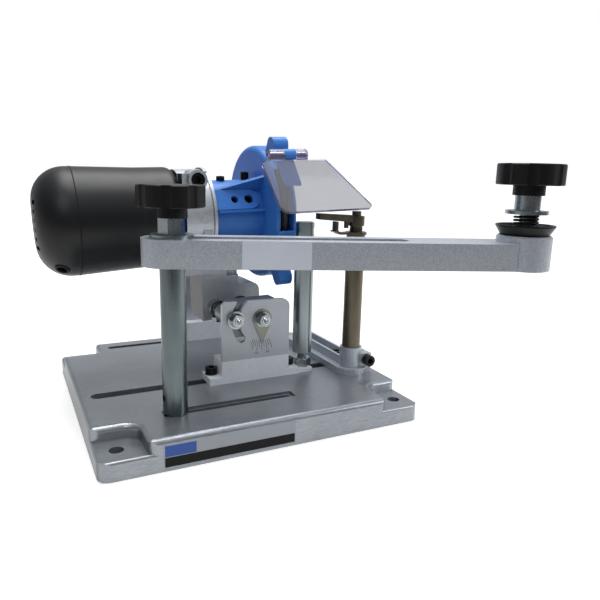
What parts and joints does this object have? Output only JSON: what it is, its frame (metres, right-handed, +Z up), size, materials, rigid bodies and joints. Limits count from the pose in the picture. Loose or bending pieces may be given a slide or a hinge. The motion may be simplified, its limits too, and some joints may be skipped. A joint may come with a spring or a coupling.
{
  "type": "saw blade sharpener",
  "caption": "Bench machine that sharpens circular saw blades: a tilting motor head with a guarded grinding wheel, a swinging blade arm, a blade rest and a feed stop.",
  "frame": {"origin": "centre of the base's four-hole bolt pattern, on the underside of the base", "axes": "+X along the front edge to the right, +Y away from the front, +Z up"},
  "size_m": [0.3426, 0.3133, 0.2271],
  "materials": {
    "cast_aluminium": "fine cast and brushed",
    "silver_paint": "matte silver hammered paint",
    "zinc_steel": "zinc plated, satin",
    "bright_steel": "turned, bright",
    "plate_steel": "satin sheet",
    "browned_steel": "browned",
    "black_screw": "black oxide",
    "black_oxide": "black oxide, satin",
    "black_spring": "black phosphated wire",
    "black_plastic": "moulded, fine matte",
    "motor_plastic": "dark grey, satin",
    "blue_plastic": "moulded, semi-gloss",
    "clear_plastic": "clear polycarbonate",
    "bronze": "sintered bronze",
    "iron_core": "laminated core",
    "grinding_grit": "bonded grit on a steel body"
  },
  "bodies": {
    "base": {"base_plate": "cast_aluminium"},
    "column": {"column_post": "zinc_steel", "column_stud": "bright_steel", "column_screw": "black_screw", "column_washer": "bright_steel", "column_grub": "black_screw"},
    "arm_guide": {"arm_bush": "zinc_steel"},
    "arm": {"swing_arm": "silver_paint", "blade_stud": "bright_steel"},
    "arm_knob": {"arm_nut": "zinc_steel", "arm_knob": "black_plastic"},
    "cone": {"centring_cone": "black_oxide", "clamp_spring": "black_spring"},
    "clamp_knob": {"clamp_washer": "zinc_steel", "clamp_sleeve": "zinc_steel", "clamp_knob": "black_plastic"},
    "bracket": {"front_block": "cast_aluminium", "front_plate": "plate_steel", "rear_block": "cast_aluminium", "rear_plate": "plate_steel", "bracket_screws": "black_screw", "bracket_tnuts": "bright_steel"},
    "tilt_frame": {"tilt_block": "cast_aluminium", "main_shaft": "bright_steel", "guide_rod": "bright_steel", "tilt_nuts": "zinc_steel", "tilt_washers": "zinc_steel", "pointer": "zinc_steel"},
    "carrier": {"carrier_casting": "cast_aluminium", "shaft_bushes": "bronze", "guide_bush": "zinc_steel", "slide_lock_screw": "zinc_steel", "ring_clamp_screw": "black_screw", "motor_housing": "motor_plastic", "motor_cap": "motor_plastic", "stator": "iron_core", "bearings": "bright_steel", "guard_shell": "blue_plastic", "guard_cover": "blue_plastic", "guard_screws": "black_screw", "neck_screws": "black_screw", "shield_pin": "bright_steel"},
    "rotor": {"rotor_core": "iron_core", "motor_shaft": "bright_steel", "cooling_fan": "motor_plastic", "wheel_flange": "bright_steel", "flange_nut": "bright_steel", "grinding_wheel": "grinding_grit"},
    "shield": {"shield": "clear_plastic"},
    "rest_foot": {"rest_nut": "zinc_steel", "rest_plate": "zinc_steel", "rest_tnut": "bright_steel"},
    "rest_post": {"rest_post": "zinc_steel", "rest_stud": "bright_steel"},
    "link_foot": {"link_screw": "black_screw", "link_tnut": "bright_steel"},
    "stop_link": {"stop_link": "silver_paint", "stop_clamp_screw": "black_screw"},
    "stop_rod": {"stop_rod": "browned_steel"},
    "stop_finger": {"stop_finger": "browned_steel"}
  },
  "joints": [
    {"name": "column_slide", "type": "slide", "parent": "base", "child": "column", "axis": [1, 0, 0], "range_m": [-0.004, 0.06]},
    {"name": "arm_swivel", "type": "hinge", "parent": "column", "child": "arm_guide", "pos_m": [-0.0658, -0.0793, 0.14], "axis": [0, 0, 1], "range_deg": [-35, 12]},
    {"name": "arm_slide", "type": "slide", "parent": "arm_guide", "child": "arm", "axis": [-0.9346, 0.3558, 0], "range_m": [0, 0.13]},
    {"name": "arm_knob_turn", "type": "hinge", "parent": "column", "child": "arm_knob", "pos_m": [-0.0658, -0.0793, 0.16], "axis": [0, 0, 1], "continuous": true},
    {"name": "cone_lift", "type": "slide", "parent": "arm", "child": "cone", "axis": [0, 0, 1], "range_m": [0, 0.004], "stiffness_N_per_m": 800, "springref_m": -0.002, "deforming": ["clamp_spring"]},
    {"name": "clamp_knob_turn", "type": "hinge", "parent": "arm", "child": "clamp_knob", "pos_m": [0.1713, -0.16956, 0.18], "axis": [0, 0, 1], "continuous": true},
    {"name": "bracket_slide", "type": "slide", "parent": "base", "child": "bracket", "axis": [1, 0, 0], "range_m": [-0.04, 0]},
    {"name": "head_tilt", "type": "hinge", "parent": "bracket", "child": "tilt_frame", "pos_m": [0.02, -0.03, 0.0763], "axis": [0, 1, 0], "range_deg": [-20, 0]},
    {"name": "carrier_slide", "type": "slide", "parent": "tilt_frame", "child": "carrier", "axis": [0, 1, 0], "range_m": [-0.001, 0.025]},
    {"name": "wheel_spin", "type": "hinge", "parent": "carrier", "child": "rotor", "pos_m": [-0.00333, 0.0295, 0.15873], "axis": [0.9992, 0, 0.0401], "continuous": true},
    {"name": "shield_flip", "type": "hinge", "parent": "carrier", "child": "shield", "pos_m": [0.03961, -0.0285, 0.2109], "axis": [-0.9992, 0, -0.0401], "range_deg": [0, 110]},
    {"name": "rest_slide", "type": "slide", "parent": "base", "child": "rest_foot", "axis": [1, 0, 0], "range_m": [0, 0.013]},
    {"name": "rest_height", "type": "slide", "parent": "rest_foot", "child": "rest_post", "axis": [0, 0, 1], "range_m": [0, 0.005]},
    {"name": "link_slide", "type": "slide", "parent": "base", "child": "link_foot", "axis": [1, 0, 0], "range_m": [-0.01, 0.005]},
    {"name": "link_reach", "type": "slide", "parent": "link_foot", "child": "stop_link", "axis": [0, 1, 0], "range_m": [-0.04, 0.005]},
    {"name": "stop_lift", "type": "slide", "parent": "stop_link", "child": "stop_rod", "axis": [0, 0, 1], "range_m": [-0.004, 0.005]},
    {"name": "finger_swing", "type": "hinge", "parent": "stop_rod", "child": "stop_finger", "pos_m": [0.1015, -0.0505, 0.16], "axis": [0, 0, 1], "range_deg": [-45, 25]}
  ]
}
